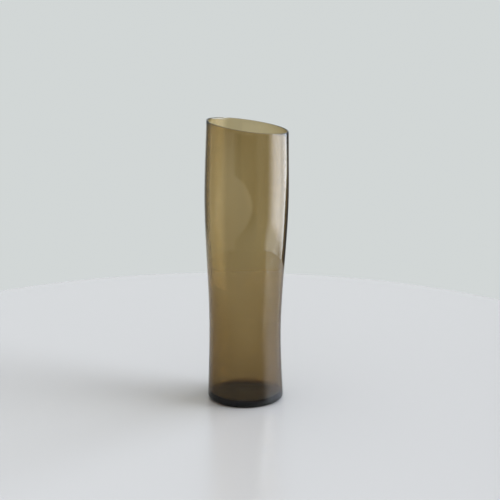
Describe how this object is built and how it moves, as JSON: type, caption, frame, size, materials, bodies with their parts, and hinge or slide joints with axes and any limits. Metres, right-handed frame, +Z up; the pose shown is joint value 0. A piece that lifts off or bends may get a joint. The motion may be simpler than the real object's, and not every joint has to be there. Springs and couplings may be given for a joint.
{
  "type": "cylinder vase",
  "caption": "Tall hand-blown cylinder vase in smoked amber glass, gently waisted, with a slanted cut rim and a thick base, for long-stemmed flowers.",
  "frame": {"origin": "on the surface the vase stands on, under the middle of its widest section", "axes": "+Z up along the height, +X towards the low side of the slanted rim, +Y towards the back"},
  "size_m": [0.127, 0.1252, 0.4313],
  "materials": {
    "smoked_glass": "polished, clear smoked amber-brown glass with faint blown waviness"
  },
  "bodies": {
    "root": {"vase_body": "smoked_glass"}
  },
  "joints": []
}
